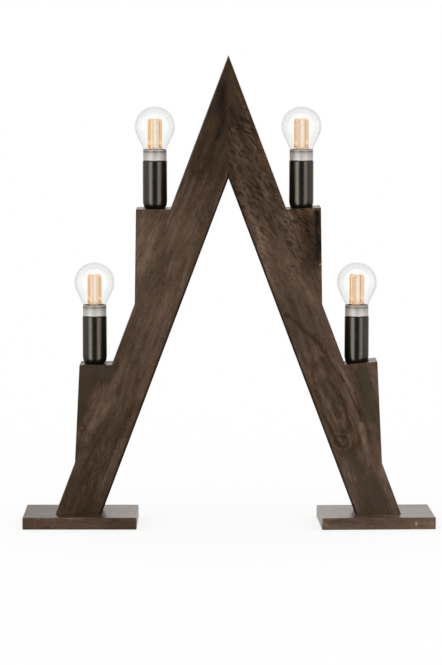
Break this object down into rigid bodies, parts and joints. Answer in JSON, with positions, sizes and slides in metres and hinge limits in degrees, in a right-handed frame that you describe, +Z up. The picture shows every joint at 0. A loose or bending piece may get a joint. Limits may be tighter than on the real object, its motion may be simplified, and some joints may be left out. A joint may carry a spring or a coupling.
{
  "type": "candle arch",
  "caption": "A-shaped wooden candle arch with stepped sides; each step carries a black lamp holder with a clear screw-in filament lamp. Stands on flat foot blocks.",
  "frame": {"origin": "on the table, midway between the foot blocks, in the middle of the legs' depth", "axes": "+X to the viewer's right, +Y to the back, +Z up from the feet to the apex"},
  "size_m": [0.4564, 0.0946, 0.521],
  "materials": {
    "stained_wood": "dark brown stain under satin lacquer, open straight grain",
    "cover_board": "dark stained strip, satin",
    "beech": "bare turned beech",
    "steel": "zinc plated",
    "black_plastic": "black, satin gloss",
    "insert_plastic": "black heat-proof moulding",
    "brass": "bare brass",
    "connector_plastic": "white moulding",
    "flex_sheath": "black sheath",
    "grommet_rubber": "black rubber",
    "nickel": "nickel plated brass",
    "cap_insulator": "black vitreous insulator",
    "collar_metal": "satin silver",
    "clear_glass": "clear blown glass",
    "stem_glass": "glass stem, warm tint",
    "filament": "orange phosphor coated filament strips"
  },
  "bodies": {
    "arch": {"left_leg": "stained_wood", "right_leg": "stained_wood", "left_foot": "stained_wood", "right_foot": "stained_wood", "upper_left_corbel": "stained_wood", "upper_right_corbel": "stained_wood", "lower_left_corbel": "stained_wood", "lower_right_corbel": "stained_wood", "left_wiring_cover": "cover_board", "right_wiring_cover": "cover_board", "apex_dowels": "beech", "corbel_dowels": "beech", "foot_screws": "steel", "cover_screws": "steel", "nipples": "steel", "nipple_nuts": "steel", "upper_left_sleeve": "black_plastic", "upper_right_sleeve": "black_plastic", "lower_left_sleeve": "black_plastic", "lower_right_sleeve": "black_plastic", "holder_inserts": "insert_plastic", "screw_shells": "brass", "terminals": "brass", "tap_connectors": "connector_plastic", "terminal_block": "connector_plastic", "flex": "flex_sheath", "cord_grommet": "grommet_rubber"},
    "upper_left_contact": {"upper_left_contact": "brass"},
    "upper_left_lamp": {"upper_left_globe": "clear_glass", "upper_left_collar": "collar_metal", "upper_left_cap": "nickel", "upper_left_insulator": "cap_insulator", "upper_left_tip": "brass", "upper_left_stem": "stem_glass", "upper_left_filament_cage": "filament"},
    "upper_right_contact": {"upper_right_contact": "brass"},
    "upper_right_lamp": {"upper_right_globe": "clear_glass", "upper_right_collar": "collar_metal", "upper_right_cap": "nickel", "upper_right_insulator": "cap_insulator", "upper_right_tip": "brass", "upper_right_stem": "stem_glass", "upper_right_filament_cage": "filament"},
    "lower_left_contact": {"lower_left_contact": "brass"},
    "lower_left_lamp": {"lower_left_globe": "clear_glass", "lower_left_collar": "collar_metal", "lower_left_cap": "nickel", "lower_left_insulator": "cap_insulator", "lower_left_tip": "brass", "lower_left_stem": "stem_glass", "lower_left_filament_cage": "filament"},
    "lower_right_contact": {"lower_right_contact": "brass"},
    "lower_right_lamp": {"lower_right_globe": "clear_glass", "lower_right_collar": "collar_metal", "lower_right_cap": "nickel", "lower_right_insulator": "cap_insulator", "lower_right_tip": "brass", "lower_right_stem": "stem_glass", "lower_right_filament_cage": "filament"}
  },
  "joints": [
    {"name": "upper_left_lamp_turn", "type": "hinge", "parent": "arch", "child": "upper_left_contact", "pos_m": [-0.08115, 0, 0.405], "axis": [0, 0, 1], "range_deg": [0, 1080]},
    {"name": "upper_left_lamp_lift", "type": "slide", "parent": "upper_left_contact", "child": "upper_left_lamp", "axis": [0, 0, 1], "range_m": [0, 0.00847]},
    {"name": "upper_right_lamp_turn", "type": "hinge", "parent": "arch", "child": "upper_right_contact", "pos_m": [0.08045, 0, 0.40515], "axis": [0, 0, 1], "range_deg": [0, 1080]},
    {"name": "upper_right_lamp_lift", "type": "slide", "parent": "upper_right_contact", "child": "upper_right_lamp", "axis": [0, 0, 1], "range_m": [0, 0.00847]},
    {"name": "lower_left_lamp_turn", "type": "hinge", "parent": "arch", "child": "lower_left_contact", "pos_m": [-0.14835, 0, 0.2327], "axis": [0, 0, 1], "range_deg": [0, 1080]},
    {"name": "lower_left_lamp_lift", "type": "slide", "parent": "lower_left_contact", "child": "lower_left_lamp", "axis": [0, 0, 1], "range_m": [0, 0.00847]},
    {"name": "lower_right_lamp_turn", "type": "hinge", "parent": "arch", "child": "lower_right_contact", "pos_m": [0.14235, 0, 0.23267], "axis": [0, 0, 1], "range_deg": [0, 1080]},
    {"name": "lower_right_lamp_lift", "type": "slide", "parent": "lower_right_contact", "child": "lower_right_lamp", "axis": [0, 0, 1], "range_m": [0, 0.00847]}
  ],
  "couplings": [
    {"joint": "upper_left_lamp_lift", "follows": "upper_left_lamp_turn", "m_per_rad": 0.00044914},
    {"joint": "upper_right_lamp_lift", "follows": "upper_right_lamp_turn", "m_per_rad": 0.00044914},
    {"joint": "lower_left_lamp_lift", "follows": "lower_left_lamp_turn", "m_per_rad": 0.00044914},
    {"joint": "lower_right_lamp_lift", "follows": "lower_right_lamp_turn", "m_per_rad": 0.00044914}
  ]
}
